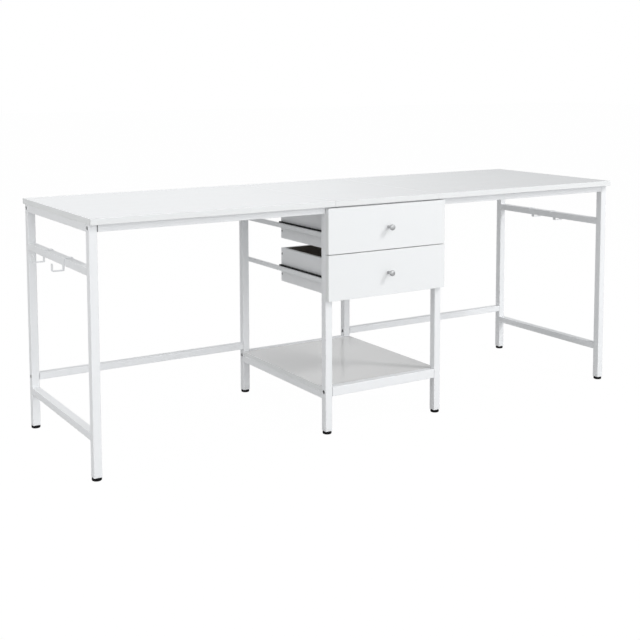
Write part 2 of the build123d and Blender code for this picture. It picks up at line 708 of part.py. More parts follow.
os.makedirs("parts", exist_ok=True)
slide_levels = {name: bottom + RUNNER_RISE + SLIDE_LIFT for name, bottom in DRAWERS.items()}
screw_spots = top_screw_spots()
for side_name, side_sign in SIDES.items():
    save_side_frame(side_name, side_sign)
save_centre_bay()
save_top(screw_spots)
save_fasteners(screw_spots)
save_slides(slide_levels)
for drawer_name, drawer_bottom in DRAWERS.items():
    save_drawer(drawer_name, drawer_bottom, slide_levels[drawer_name])
for row_name, hook_y in LEFT_HOOKS_Y.items():
    save(f"left_{row_name}_hook", hook(-1, hook_y))
for row_name, hook_y in RIGHT_HOOKS_Y.items():
    save(f"right_{row_name}_hook", hook(1, hook_y))
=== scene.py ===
"""Looks of the sewing table: laminate boards, powder-coated tubes, turned knobs, feet, hooks and welds."""
import json
import math

import bpy
from mathutils import Matrix, Vector


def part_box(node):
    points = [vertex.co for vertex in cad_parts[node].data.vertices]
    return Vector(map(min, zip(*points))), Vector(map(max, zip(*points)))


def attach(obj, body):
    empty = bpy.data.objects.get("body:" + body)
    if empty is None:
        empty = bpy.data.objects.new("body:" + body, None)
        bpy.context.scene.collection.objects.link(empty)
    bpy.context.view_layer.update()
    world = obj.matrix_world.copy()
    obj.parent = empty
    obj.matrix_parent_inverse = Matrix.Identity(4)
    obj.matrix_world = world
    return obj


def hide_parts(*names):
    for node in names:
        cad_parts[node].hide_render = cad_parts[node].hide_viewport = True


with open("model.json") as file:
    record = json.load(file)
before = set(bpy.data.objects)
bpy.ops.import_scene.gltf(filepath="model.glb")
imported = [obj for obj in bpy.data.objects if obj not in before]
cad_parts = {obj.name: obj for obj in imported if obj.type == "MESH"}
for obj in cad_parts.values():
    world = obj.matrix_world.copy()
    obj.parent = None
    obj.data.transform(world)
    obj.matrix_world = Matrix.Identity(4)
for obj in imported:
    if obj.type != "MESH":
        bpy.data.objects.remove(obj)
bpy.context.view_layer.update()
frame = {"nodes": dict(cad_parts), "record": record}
nodes = frame["nodes"]

MM = 0.001


# --- Shader node groups -----------------------------------------------------------------------------


def new_group(name, inputs, outputs):
    """An empty shader node group with named sockets, its input node and its output node."""
    group = bpy.data.node_groups.new(name, "ShaderNodeTree")
    kinds = {"value": "NodeSocketFloat", "colour": "NodeSocketColor", "vector": "NodeSocketVector"}
    for socket, kind in inputs:
        group.interface.new_socket(name=socket, in_out="INPUT", socket_type=kinds[kind])
    for socket, kind in outputs:
        group.interface.new_socket(name=socket, in_out="OUTPUT", socket_type=kinds[kind])
    start = group.nodes.new("NodeGroupInput")
    end = group.nodes.new("NodeGroupOutput")
    return group, start, end


def add_node(tree, kind, links=None, **settings):
    """A node with its settings; links gives each input a value or another node's output."""
    node = tree.nodes.new(kind)
    for key, value in settings.items():
        setattr(node, key, value)
    for key, value in (links or {}).items():
        if isinstance(value, bpy.types.NodeSocket):
            tree.links.new(value, node.inputs[key])
        else:
            node.inputs[key].default_value = value
    return node


def maths(tree, operation, *values, clamp=False):
    """A Math node's output."""
    node = add_node(tree, "ShaderNodeMath", dict(enumerate(values)), operation=operation, use_clamp=clamp)
    return node.outputs[0]


def noise(tree, scale, detail=3.0, roughness=0.5, stretch=(1, 1, 1)):
    """Noise over Object coordinates, from 0 to 1."""
    place = add_node(tree, "ShaderNodeTexCoord").outputs["Object"]
    mapping = add_node(tree, "ShaderNodeMapping", {"Vector": place, "Scale": stretch})
    links = {"Vector": mapping.outputs[0], "Scale": scale, "Detail": detail, "Roughness": roughness}
    return add_node(tree, "ShaderNodeTexNoise", links).outputs["Fac"]


def mix_colour(tree, factor, first, second):
    """A colour mix."""
    node = tree.nodes.new("ShaderNodeMix")
    node.data_type = "RGBA"
    for key, value in ((0, factor), (6, first), (7, second)):
        if isinstance(value, bpy.types.NodeSocket):
            tree.links.new(value, node.inputs[key])
        else:
            node.inputs[key].default_value = value
    return node.outputs[2]


SPECK_SCALE = 900.0
SPECK_SHARE = 0.35
PRINT_SCALE = 60.0
SMEAR_STRETCH = (1, 3.5, 1)
GRAIN_SCALE = 2600.0
WEAR_SCALE = 220.0
DUST_GRAIN_SCALE = 1400.0
DUST_DRIFT_SCALE = 9.0
DUST_SHARPNESS = 3.0
BEVEL_SAMPLES = 4


def make_tone_drift():
    """Slow drift between two close colours, in broad clouds and fine specks."""
    sockets = [("Colour", "colour"), ("Drift Colour", "colour")]
    sockets += [("Amount", "value"), ("Cloud Scale", "value")]
    group, start, end = new_group("tone_drift", sockets, [("Colour", "colour")])
    clouds = noise(group, start.outputs["Cloud Scale"], detail=4.0, roughness=0.6)
    specks = noise(group, SPECK_SCALE, detail=2.0, roughness=0.5)
    broad = maths(group, "MULTIPLY", clouds, 1.0 - SPECK_SHARE)
    blend = maths(group, "MULTIPLY_ADD", specks, SPECK_SHARE, broad)
    factor = maths(group, "MULTIPLY", blend, start.outputs["Amount"], clamp=True)
    colour = mix_colour(group, factor, start.outputs["Colour"], start.outputs["Drift Colour"])
    group.links.new(colour, end.inputs["Colour"])
    return group


def make_handling_marks():
    """Roughness with faint wiped streaks and fingerprints."""
    sockets = [("Roughness", "value"), ("Marks", "value"), ("Scale", "value")]
    group, start, end = new_group("handling_marks", sockets, [("Roughness", "value")])
    smears = noise(group, start.outputs["Scale"], detail=5.0, roughness=0.65, stretch=SMEAR_STRETCH)
    prints = noise(group, PRINT_SCALE, detail=2.0, roughness=0.5)
    worn = maths(group, "MULTIPLY", smears, prints)
    lift = maths(group, "MULTIPLY", worn, start.outputs["Marks"])
    rough = maths(group, "ADD", start.outputs["Roughness"], lift, clamp=True)
    group.links.new(rough, end.inputs["Roughness"])
    return group


def make_coat_texture():
    """The height of a sprayed, baked or moulded skin: broad orange peel with a fine grain on it."""
    sockets = [("Peel Scale", "value"), ("Grain", "value")]
    group, start, end = new_group("coat_texture", sockets, [("Height", "value")])
    peel = noise(group, start.outputs["Peel Scale"], detail=2.0, roughness=0.45)
    fine = noise(group, GRAIN_SCALE, detail=2.0, roughness=0.5)
    height = maths(group, "MULTIPLY_ADD", fine, start.outputs["Grain"], peel)
    group.links.new(height, end.inputs["Height"])
    return group


def make_edge_wear():
    """A mask along sharp edges, broken up by noise, for thin or rubbed coats."""
    sockets = [("Radius", "value"), ("Amount", "value")]
    group, start, end = new_group("edge_wear", sockets, [("Mask", "value")])
    rounded = add_node(group, "ShaderNodeBevel", {"Radius": start.outputs["Radius"]}, samples=BEVEL_SAMPLES)
    flat = add_node(group, "ShaderNodeNewGeometry").outputs["Normal"]
    links = {0: rounded.outputs[0], 1: flat}
    agree = add_node(group, "ShaderNodeVectorMath", links, operation="DOT_PRODUCT")
    edge = maths(group, "SUBTRACT", 1.0, agree.outputs["Value"])
    broken = maths(group, "MULTIPLY", edge, noise(group, WEAR_SCALE, detail=4.0, roughness=0.7))
    mask = maths(group, "MULTIPLY", broken, start.outputs["Amount"], clamp=True)
    group.links.new(mask, end.inputs["Mask"])
    return group


def make_settled_dust():
    """A mask of fine dust on what faces up."""
    group, start, end = new_group("settled_dust", [("Amount", "value")], [("Mask", "value")])
    normal = add_node(group, "ShaderNodeNewGeometry").outputs["Normal"]
    up = add_node(group, "ShaderNodeSeparateXYZ", {0: normal}).outputs["Z"]
    facing = maths(group, "POWER", maths(group, "MAXIMUM", up, 0.0), DUST_SHARPNESS)
    grains = noise(group, DUST_GRAIN_SCALE, detail=3.0, roughness=0.6)
    drifts = noise(group, DUST_DRIFT_SCALE, detail=4.0, roughness=0.6)
    speckle = maths(group, "MULTIPLY", maths(group, "MULTIPLY", grains, drifts), facing)
    mask = maths(group, "MULTIPLY", speckle, start.outputs["Amount"], clamp=True)
    group.links.new(mask, end.inputs["Mask"])
    return group


TONE_DRIFT = make_tone_drift()
HANDLING_MARKS = make_handling_marks()
COAT_TEXTURE = make_coat_texture()
EDGE_WEAR = make_edge_wear()
SETTLED_DUST = make_settled_dust()


def use_group(tree, group, links):
    """A group placed in a material, with its own values."""
    return add_node(tree, "ShaderNodeGroup", links, node_tree=group)


# --- Materials --------------------------------------------------------------------------------------


def new_material(name):
    """A material with a Principled BSDF, its tree and its shader."""
    material = bpy.data.materials.new(name)
    material.use_nodes = True
    tree = material.node_tree
    return material, tree, tree.nodes["Principled BSDF"]


def bumped(tree, shader, height, depth):
    """Turns a height into the shader's normal; depth is in metres."""
    bump = add_node(tree, "ShaderNodeBump", {"Height": height, "Distance": depth, "Strength": 1.0})
    tree.links.new(bump.outputs[0], shader.inputs["Normal"])


def grey(tone, blue=0.0):
    """A near-neutral colour; blue is how much cooler its blue is than its red."""
    return (tone, tone + blue / 2, tone + blue, 1)


DUST_ON_COAT = (0.55, 0.54, 0.51, 1)
DUST_ON_BOARD = (0.6, 0.59, 0.57, 1)
BOARD_DUST = 0.12
WEAR_RADIUS = 0.6 * MM
WEAR_AMOUNT = 1.6
LACQUER_ROUGHNESS = 0.06
PEARL_SCALE = 240.0
PEARL_DEPTH = 0.02 * MM
LINE_SCALE = 120.0
FOIL_GRAIN_SCALE = 300.0
FOIL_GRAIN_DEPTH = 0.05 * MM


def drifting_tone(tree, colours, amount, cloud_scale):
    """The colour output of a tone that drifts between two colours."""
    links = {"Colour": colours[0], "Drift Colour": colours[1], "Amount": amount, "Cloud Scale": cloud_scale}
    return use_group(tree, TONE_DRIFT, links).outputs["Colour"]


def dusted(tree, tone, amount, dust_colour):
    """A tone with dust settled on what faces up."""
    settled = use_group(tree, SETTLED_DUST, {"Amount": amount}).outputs["Mask"]
    return mix_colour(tree, settled, tone, dust_colour)


def handled(tree, shader, roughness, marks, scale):
    """Gives the shader a roughness with wiped streaks and fingerprints."""
    links = {"Roughness": roughness, "Marks": marks, "Scale": scale}
    tree.links.new(use_group(tree, HANDLING_MARKS, links).outputs["Roughness"], shader.inputs["Roughness"])


def coated(
        name, colours, roughness, peel_scale, depth,
        grain=0.25, amount=0.5, worn=None, dust=0.0, specular=0.5):
    """A coat over metal or plastic: drifting tone, skin texture, worn edges and a little dust."""
    material, tree, shader = new_material(name)
    tone = drifting_tone(tree, colours, amount, cloud_scale=7.0)
    if worn:
        wear = use_group(tree, EDGE_WEAR, {"Radius": WEAR_RADIUS, "Amount": WEAR_AMOUNT}).outputs["Mask"]
        tone = mix_colour(tree, wear, tone, worn)
    tree.links.new(dusted(tree, tone, dust, DUST_ON_COAT), shader.inputs["Base Color"])
    handled(tree, shader, roughness, marks=0.1, scale=14.0)
    shader.inputs["Specular IOR Level"].default_value = specular
    texture = use_group(tree, COAT_TEXTURE, {"Peel Scale": peel_scale, "Grain": grain})
    bumped(tree, shader, texture.outputs["Height"], depth)
    return material


def laminate(name, colours, roughness, lacquer, marks, specular=0.5):
    """Laminate on board: a smooth lacquered face with a faint pearl texture and wiped smears."""
    material, tree, shader = new_material(name)
    tone = drifting_tone(tree, colours, amount=0.5, cloud_scale=3.0)
    tree.links.new(dusted(tree, tone, BOARD_DUST, DUST_ON_BOARD), shader.inputs["Base Color"])
    handled(tree, shader, roughness, marks, scale=5.0)
    shader.inputs["Specular IOR Level"].default_value = specular
    shader.inputs["Coat Weight"].default_value = lacquer
    shader.inputs["Coat Roughness"].default_value = LACQUER_ROUGHNESS
    texture = use_group(tree, COAT_TEXTURE, {"Peel Scale": PEARL_SCALE, "Grain": 0.2})
    bumped(tree, shader, texture.outputs["Height"], PEARL_DEPTH)
    return material


def metal(name, colours, roughness, stretch, depth, marks=0.15):
    """Bare or plated metal with fine turning or rolling lines."""
    material, tree, shader = new_material(name)
    tone = drifting_tone(tree, colours, amount=0.8, cloud_scale=60.0)
    tree.links.new(tone, shader.inputs["Base Color"])
    handled(tree, shader, roughness, marks, scale=50.0)
    shader.inputs["Metallic"].default_value = 1.0
    lines = noise(tree, LINE_SCALE, detail=3.0, roughness=0.6, stretch=stretch)
    bumped(tree, shader, lines, depth)
    return material


FOIL_OUTSIDE = (0.91, 0.92, 0.93, 1), (0.87, 0.88, 0.885, 1)
# The inside colour is painted shade: a dark grey-brown that stands in for the deep shade inside the drawer
# box.
INSIDE_PAINTED_SHADE = (0.23, 0.22, 0.215, 1), (0.3, 0.25, 0.2, 1)


def drawer_foil_and_inside_shade(name, centre):
    """Grey foil outside a drawer box and painted shade inside: inner faces look towards its centre and get a
    dark colour that stands in for the shade in the box.
    """
    material, tree, shader = new_material(name)
    place = add_node(tree, "ShaderNodeTexCoord").outputs["Object"]
    outwards = add_node(tree, "ShaderNodeVectorMath", {0: place, 1: centre}, operation="SUBTRACT").outputs[0]
    normal = add_node(tree, "ShaderNodeNewGeometry").outputs["Normal"]
    facing = add_node(tree, "ShaderNodeVectorMath", {0: outwards, 1: normal}, operation="DOT_PRODUCT")
    # Faces that look towards the box's centre get the painted shade colour instead of the grey foil.
    inside = maths(tree, "LESS_THAN", facing.outputs["Value"], 0.0)
    outer = drifting_tone(tree, FOIL_OUTSIDE, amount=0.6, cloud_scale=9.0)
    inside_shade_colour = drifting_tone(tree, INSIDE_PAINTED_SHADE, amount=0.9, cloud_scale=16.0)
    tree.links.new(mix_colour(tree, inside, outer, inside_shade_colour), shader.inputs["Base Color"])
    handled(tree, shader, roughness=0.42, marks=0.2, scale=10.0)
    grain = noise(tree, FOIL_GRAIN_SCALE, detail=4.0, roughness=0.6, stretch=(1, 0.12, 1))
    bumped(tree, shader, grain, FOIL_GRAIN_DEPTH)
    return material


# Each tone and the tone that it drifts to.
COAT_WHITE = grey(0.87, 0.02), grey(0.84, 0.02)
BAND_WHITE = (0.82, 0.83, 0.83, 1), (0.79, 0.8, 0.8, 1)
TOP_WHITE = grey(0.85, 0.02), grey(0.83, 0.02)
# The shelf's white is darker and warmer than the top's: painted shade for the shade that falls under the
# drawers.
SHELF_WHITE_AND_SHADE = (0.77, 0.765, 0.76, 1), (0.73, 0.725, 0.715, 1)
FRONT_WHITE = (0.86, 0.87, 0.875, 1), (0.83, 0.84, 0.845, 1)
CHROME_GREY = grey(0.54, 0.01), grey(0.46, 0.01)
STEEL_GREY = grey(0.6), grey(0.5)
ZINC_GREY = (0.42, 0.42, 0.43, 1), (0.33, 0.33, 0.32, 1)
OXIDE_BLACK = (0.03, 0.03, 0.032, 1), grey(0.05)
BLACK = (0.005, 0.005, 0.0055, 1), (0.01, 0.01, 0.011, 1)
RUBBED_BLACK = grey(0.03)
BLACK_GLOSS = 0.12

powder_coat = coated(
    "baked_white_coat", COAT_WHITE, roughness=0.33, peel_scale=420.0, depth=0.015 * MM,
    worn=grey(0.76), dust=0.04)
edge_band = coated(
    "white_edge_band", BAND_WHITE, roughness=0.38, peel_scale=900.0, depth=0.015 * MM, dust=0.03)
black_plastic = coated(
    "black_moulded_plastic", BLACK, roughness=0.5, peel_scale=700.0, depth=0.06 * MM,
    grain=0.5, amount=0.7, worn=RUBBED_BLACK, dust=0.05, specular=BLACK_GLOSS)
black_steel = coated(
    "black_slide_coat", BLACK, roughness=0.45, peel_scale=500.0, depth=0.02 * MM,
    worn=RUBBED_BLACK, dust=0.04, specular=BLACK_GLOSS)
top_face = laminate("white_gloss_laminate", TOP_WHITE, roughness=0.2, lacquer=0.35, marks=0.05)
shelf_face = laminate(
    "white_shelf_laminate", SHELF_WHITE_AND_SHADE, roughness=0.12, lacquer=0.25, marks=0.1, specular=0.35)
front_face = laminate(
    "white_front_laminate", FRONT_WHITE, roughness=0.4, lacquer=0.05, marks=0.16, specular=0.3)
chrome = metal("brushed_chrome", CHROME_GREY, roughness=0.46, stretch=(1, 6, 1), depth=0.01 * MM)
bright_steel = metal("bright_ball_steel", STEEL_GREY, roughness=0.25, stretch=(6, 1, 6), depth=0.01 * MM)
zinc = metal("zinc_plate", ZINC_GREY, roughness=0.38, stretch=(2, 2, 2), depth=0.02 * MM, marks=0.3)
black_oxide = metal(
    "black_oxide", OXIDE_BLACK, roughness=0.45, stretch=(2, 2, 2), depth=0.02 * MM, marks=0.3)


def give(node_name, material):
    """Puts a material on every slot of a CAD node."""
    slots = nodes[node_name].material_slots
    if not slots:
        nodes[node_name].data.materials.append(material)
    for slot in nodes[node_name].material_slots:
        slot.material = material


def dress_cad_nodes():
    """Gives each CAD node the finish of its material slot."""
    finishes = {
        "white_powder_coat": powder_coat,
        "top_laminate": top_face,
        "shelf_laminate": shelf_face,
        "drawer_front_laminate": front_face,
        "satin_chrome": chrome,
        "black_plastic": black_plastic,
        "black_slide_steel": black_steel,
        "bright_steel": bright_steel,
        "zinc_steel": zinc,
    }
    for part in frame["record"]["subparts"]:
        if part["material_slot"] in finishes:
            give(part["node"], finishes[part["material_slot"]])
    give("frame_bolts", black_oxide)
    for drawer in ("upper", "lower"):
        low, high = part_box(f"{drawer}_drawer_sides")
        # Grey foil outside, painted shade on the inside faces.
        foil_and_shade = drawer_foil_and_inside_shade(f"{drawer}_drawer_foil_and_inside_shade", (low + high) / 2)
        for part in ("sides", "box_front", "box_back", "bottom"):
            give(f"{drawer}_drawer_{part}", foil_and_shade)


dress_cad_nodes()


# --- Modelling by hand ------------------------------------------------------------------------------


def nothing_selected():
    """Leaves edit mode and deselects every object."""
    if bpy.context.object and bpy.context.object.mode != "OBJECT":
        bpy.ops.object.mode_set(mode="OBJECT")
    bpy.ops.object.select_all(action="DESELECT")


def hold(*pieces):
    """Selects only these pieces; the last one is active."""
    nothing_selected()
    for piece in pieces:
        piece.select_set(True)
        bpy.context.view_layer.objects.active = piece


def settle(name):
    """Names the new primitive and puts its place in its mesh, with its object at the origin."""
    piece = bpy.context.object
    piece.name = name
    piece.data.name = name
    bpy.ops.object.transform_apply(location=True, rotation=True, scale=True)
    return piece


def block(name, low, high):
    """A cube stretched between two corners, ready to be shaped."""
    nothing_selected()
    bpy.ops.mesh.primitive_cube_add(size=1, location=(low + high) / 2, scale=high - low)
    return settle(name)


ALONG = 0.9
ACROSS = 0.1
FLAT = 0.99
NORMAL_WEIGHT = 100


def pick(piece, kind, test):
    """In edit mode, selects the faces or edges that pass a test on their middle and direction."""
    bpy.ops.object.mode_set(mode="EDIT")
    bpy.ops.mesh.select_mode(type=kind)
    bpy.ops.mesh.select_all(action="DESELECT")
    bpy.ops.object.mode_set(mode="OBJECT")
    mesh = piece.data
    if kind == "FACE":
        for face in mesh.polygons:
            face.select = test(face.center, face.normal)
    else:
        for edge in mesh.edges:
            first, second = (mesh.vertices[index].co for index in edge.vertices)
            edge.select = test((first + second) / 2, (second - first).normalized())
    bpy.ops.object.mode_set(mode="EDIT")


def draw_out(move):
    """Extrudes the selected faces by a vector."""
    bpy.ops.mesh.extrude_region_move(TRANSFORM_OT_translate={"value": move})


def round_edges(piece, test, width, segments=3):
    """Bevels the edges that pass a test."""
    pick(piece, "EDGE", test)
    bpy.ops.mesh.bevel(offset=width, offset_type="OFFSET", segments=segments, profile=0.5, affect="EDGES")


SHARP_ANGLE = math.radians(50)


def ease_sharp_edges(width, segments=2):
    """Bevels every sharp edge of the piece in edit mode."""
    bpy.ops.mesh.select_mode(type="EDGE")
    bpy.ops.mesh.select_all(action="DESELECT")
    bpy.ops.mesh.edges_select_sharp(sharpness=SHARP_ANGLE)
    bpy.ops.mesh.bevel(offset=width, offset_type="OFFSET", segments=segments, profile=0.5, affect="EDGES")


def face_outwards():
    """Recalculates the normals of the closed piece in edit mode."""
    bpy.ops.mesh.select_all(action="SELECT")
    bpy.ops.mesh.normals_make_consistent(inside=False)


def copies(piece, moves):
    """Copies a piece by each move, each copy with its own mesh, and joins them to it."""
    made = []
    for move in moves:
        hold(piece)
        bpy.ops.object.duplicate(linked=False)
        bpy.ops.transform.translate(value=move)
        bpy.ops.object.transform_apply(location=True, rotation=True, scale=True)
        made.append(bpy.context.object)
    hold(*made, piece)
    bpy.ops.object.join()
    return piece


def finish_piece(piece, materials, body, replaced=(), smooth=40.0):
    """Smooths a piece under an angle, gives it its finishes and joins it to its body."""
    hold(piece)
    bpy.ops.object.shade_smooth_by_angle(angle=math.radians(smooth))
    bpy.ops.object.modifier_add(type="WEIGHTED_NORMAL")
    piece.modifiers[-1].keep_sharp = True
    piece.modifiers[-1].weight = NORMAL_WEIGHT
    bpy.ops.object.modifier_apply(modifier=piece.modifiers[-1].name)
    for material in materials:
        piece.data.materials.append(material)
    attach(piece, body)
    if replaced:
        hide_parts(*replaced)


# --- Laminated boards -------------------------------------------------------------------------------

BOARD_EDGE = 0.8 * MM
SEAM_EDGE = 0.12 * MM
BAND = 1.0 * MM
GLUE_LINE = 0.12 * MM
GLUE_DEPTH = 0.06 * MM
FRONT_TO_BACK, UPWARDS = 1, 2


def laminated_board(node_name, thin, face_material, body, seams=()):
    """A board, thin along one axis, with laminated faces, a banded rim and the band's glue line."""
    low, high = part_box(node_name)
    piece = block(f"{node_name}_laminated", low, high)
    piece.data.materials.append(face_material)
    piece.data.materials.append(edge_band)

    def at_seam(middle, way):
        return any(abs(middle.x - seam) < MM for seam in seams)

    if seams:
        round_edges(piece, at_seam, SEAM_EDGE, segments=2)
    round_edges(piece, lambda middle, way: not at_seam(middle, way), BOARD_EDGE)
    pick(piece, "FACE", lambda middle, normal: abs(normal[thin]) > FLAT)
    bpy.ops.mesh.inset(thickness=BAND - BOARD_EDGE)
    bpy.ops.mesh.inset(thickness=GLUE_LINE, depth=-GLUE_DEPTH)
    bpy.ops.mesh.inset(thickness=GLUE_LINE, depth=GLUE_DEPTH)
    pick(piece, "FACE", lambda middle, normal: abs(normal[thin]) < FLAT)
    piece.active_material_index = 1
    bpy.ops.object.material_slot_assign()
    finish_piece(piece, [], body, [node_name])


def make_boards():
    """The three top panels, the shelf and the two drawer fronts."""
    left_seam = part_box("left_top_panel")[1].x
    right_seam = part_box("right_top_panel")[0].x
    tops = (("left", (left_seam,)), ("centre", (left_seam, right_seam)), ("right", (right_seam,)))
    for place, seams in tops:
        laminated_board(f"{place}_top_panel", UPWARDS, top_face, "table_frame", seams)
    laminated_board("shelf_board", UPWARDS, shelf_face, "table_frame")
    for drawer in ("upper_drawer", "lower_drawer"):
        laminated_board(f"{drawer}_front", FRONT_TO_BACK, front_face, drawer)


# --- Turned feet and knobs --------------------------------------------------------------------------


def arc_rings(centre, size, first, last, steps):
    """Rings along an arc of an ellipse, from one angle to another; 0 degrees is its widest place."""
    angles = [math.radians(first + (last - first) * step / steps) for step in range(steps + 1)]
    return [
        (centre[0] + size[0] * math.sin(angle), centre[1] + size[1] * math.cos(angle)) for angle in angles]


def turned(name, start, way, rings, sides, closed_tip):
    """A turned shape drawn out ring by ring; each ring is its distance and radius in millimetres."""
    nothing_selected()
    turn = way.to_track_quat("Z", "Y").to_euler()
    bpy.ops.mesh.primitive_circle_add(
        vertices=sides, radius=rings[0][1] * MM, fill_type="NGON", location=start, rotation=turn)
    piece = settle(name)
    bpy.ops.object.mode_set(mode="EDIT")
    bpy.ops.mesh.select_mode(type="FACE")
    bpy.ops.mesh.select_all(action="SELECT")
    for (distance, radius), (next_distance, next_radius) in zip(rings, rings[1:]):
        draw_out(way * (next_distance - distance) * MM)
        grow = next_radius / radius
        bpy.ops.transform.resize(value=(grow, grow, grow), center_override=start + way * next_distance * MM)
    if closed_tip:
        bpy.ops.mesh.merge(type="CENTER")
    face_outwards()
    return piece


FOOT_RADIUS = 14.5
FOOT_BASE_ROUND = 3.0
FOOT_GROOVE_START = 6.4
FOOT_GROOVE_END = 7.6
FOOT_GROOVE_DEPTH = 0.6
FOOT_GROOVE_SLOPE = 0.5
FOOT_HEIGHT = 10.0
FOOT_RIM_RISE = 1.2
FOOT_RIM_ROUND = 1.3
FOOT_SHOULDER = 1.5
PLUG_RADIUS = 9.2
PLUG_END = 26.0
PLUG_CHAMFER = 1.0
FOOT_SIDES = 40


def foot_rings():
    """A pad with a rounded base, a groove under its rim and a plug that fills the leg's end."""
    base_size = (FOOT_BASE_ROUND, FOOT_BASE_ROUND)
    base = arc_rings((FOOT_BASE_ROUND, FOOT_RADIUS - FOOT_BASE_ROUND), base_size, first=-90, last=0, steps=5)
    in_groove = FOOT_RADIUS - FOOT_GROOVE_DEPTH
    groove = [(FOOT_GROOVE_START, FOOT_RADIUS), (FOOT_GROOVE_START + FOOT_GROOVE_SLOPE, in_groove)]
    groove.append((FOOT_GROOVE_END, in_groove))
    rim_centre = (FOOT_HEIGHT - FOOT_RIM_RISE, FOOT_RADIUS - FOOT_SHOULDER)
    rim = arc_rings(rim_centre, (FOOT_RIM_RISE, FOOT_RIM_ROUND), first=-20, last=90, steps=4)
    plug = [(FOOT_HEIGHT, PLUG_RADIUS), (PLUG_END - PLUG_CHAMFER, PLUG_RADIUS)]
    plug.append((PLUG_END, PLUG_RADIUS - PLUG_CHAMFER))
    return base + groove + rim + plug


def make_feet():
    """Eight push-in feet, one under each leg."""
    legs = [f"{side}_{part}_{row}_leg" for side in ("left", "right") for part in ("end", "centre")
            for row in ("front", "back")]
    places = []
    for leg in legs:
        low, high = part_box(leg)
        places.append(Vector(((low.x + high.x) / 2, (low.y + high.y) / 2, 0)))
    foot = turned("moulded_feet", places[0], Vector((0, 0, 1)), foot_rings(), FOOT_SIDES, False)
    copies(foot, [place - places[0] for place in places[1:]])
    finish_piece(foot, [black_plastic], "table_frame", ["feet"], smooth=35.0)


KNOB_SIDES = 56
KNOB_BASE = 5.5
KNOB_NECK = 3.5
KNOB_HEAD = 9.5
KNOB_FLANGE = 1.2
KNOB_FLANGE_EASE = 0.4
KNOB_WAIST = 8.0
KNOB_THROAT = 16.4
KNOB_SWELL = 0.9
KNOB_SHOULDER = 19.4
KNOB_RIM = 23.2
KNOB_RIM_EASE = ((0.5, 0.15), (0.8, 0.5))
NECK_STEPS = 8


def knob_rings(reach):
    """A flange, a waisted neck and a head with a rounded shoulder, a plain rim and a low dome."""
    ease = KNOB_FLANGE_EASE
    flange = [(0, KNOB_BASE), (KNOB_FLANGE - ease, KNOB_BASE), (KNOB_FLANGE, KNOB_BASE - ease)]
    neck = []
    for step in range(NECK_STEPS + 1):
        distance = KNOB_FLANGE + ease + (KNOB_THROAT - KNOB_FLANGE - ease) * step / NECK_STEPS
        off_waist = (distance - KNOB_WAIST) / (KNOB_THROAT - KNOB_WAIST)
        neck.append((distance, KNOB_NECK + KNOB_SWELL * off_waist ** 2))
    throat = KNOB_NECK + KNOB_SWELL
    shoulder_size = (KNOB_SHOULDER - KNOB_THROAT, KNOB_HEAD - throat)
    shoulder = arc_rings((KNOB_SHOULDER, throat), shoulder_size, first=-75, last=0, steps=6)
    rim = [(KNOB_RIM, KNOB_HEAD)] + [(KNOB_RIM + along, KNOB_HEAD - drop) for along, drop in KNOB_RIM_EASE]
    dome_start, dome_radius = rim[-1]
    dome = arc_rings((dome_start, 0), (reach - dome_start, dome_radius), first=12, last=88, steps=8)
    return flange + neck + shoulder + rim + dome


def make_knobs():
    """The two turned knobs, each on its drawer front."""
    for row in ("upper", "lower"):
        low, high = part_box(f"{row}_drawer_knob")
        start = Vector(((low.x + high.x) / 2, high.y, (low.z + high.z) / 2))
        rings = knob_rings((high.y - low.y) / MM)
        knob = turned(f"{row}_turned_knob", start, Vector((0, -1, 0)), rings, KNOB_SIDES, True)
        finish_piece(knob, [chrome], f"{row}_drawer", [f"{row}_drawer_knob"], smooth=50.0)


# --- Bent hooks -------------------------------------------------------------------------------------

HOOK_SHEET = 2.0 * MM
HOOK_BEND = 2.6 * MM
HOOK_CLEARANCE = 0.3 * MM
HOOK_LIP = 10.0 * MM
HOOK_TIP_RISE = 23.0 * MM
HOOK_TIP_ROUND = 3.0 * MM
HOOK_EDGE = 0.35 * MM
BEND_STEPS = 6


